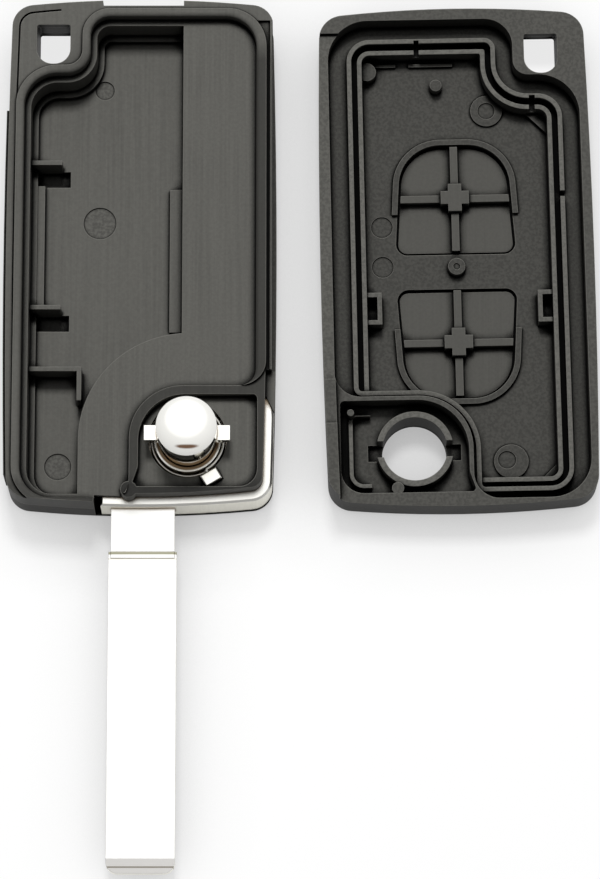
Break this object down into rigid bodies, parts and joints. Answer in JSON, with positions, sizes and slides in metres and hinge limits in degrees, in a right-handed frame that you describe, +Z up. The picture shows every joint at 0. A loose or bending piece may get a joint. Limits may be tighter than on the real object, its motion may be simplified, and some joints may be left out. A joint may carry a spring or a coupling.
{
  "type": "key fob shell",
  "caption": "Opened flip-key fob shell with remote buttons, a folding uncut blade on a sprung carrier, a domed release button and a key ring hole.",
  "frame": {"origin": "where the fold axis of the blade meets the surface that both halves lie on", "axes": "+Z up, out of the opened halves; +Y from the blade towards the key ring end; +X from the rear half towards the front cover"},
  "size_m": [0.0791, 0.1179, 0.016],
  "materials": {
    "shell_plastic": "fine-grained black moulding",
    "frame_plastic": "satin black moulding",
    "button_rubber": "matt black soft moulding",
    "cast_metal": "satin plated casting",
    "blade_steel": "satin nickel plated blank",
    "spring_steel": "drawn spring wire",
    "polished_metal": "polished plating"
  },
  "bodies": {
    "shell": {"back_cover": "shell_plastic", "mid_frame": "frame_plastic", "spring_anchor": "cast_metal", "flip_spring": "spring_steel", "front_cover": "shell_plastic"},
    "carrier": {"blade_carrier": "cast_metal", "key_blade": "blade_steel", "blade_roll_pin": "spring_steel", "button_spring": "spring_steel"},
    "release": {"release_button": "polished_metal"},
    "lock_key": {"lock_button": "button_rubber"},
    "unlock_key": {"unlock_button": "button_rubber"}
  },
  "joints": [
    {"name": "blade_fold", "type": "hinge", "parent": "shell", "child": "carrier", "pos_m": [0, 0, 0], "axis": [0, 0, 1], "range_deg": [0, 65], "stiffness_Nm_per_rad": 0.02, "springref_deg": -34.38},
    {"name": "release_press", "type": "slide", "parent": "carrier", "child": "release", "axis": [0, 0, -1], "range_m": [0, 0.0022], "stiffness_N_per_m": 800, "deforming": ["button_spring"]},
    {"name": "lock_press", "type": "slide", "parent": "shell", "child": "lock_key", "axis": [0, 0, 1], "range_m": [0, 0.00045], "stiffness_N_per_m": 800},
    {"name": "unlock_press", "type": "slide", "parent": "shell", "child": "unlock_key", "axis": [0, 0, 1], "range_m": [0, 0.00045], "stiffness_N_per_m": 800}
  ]
}
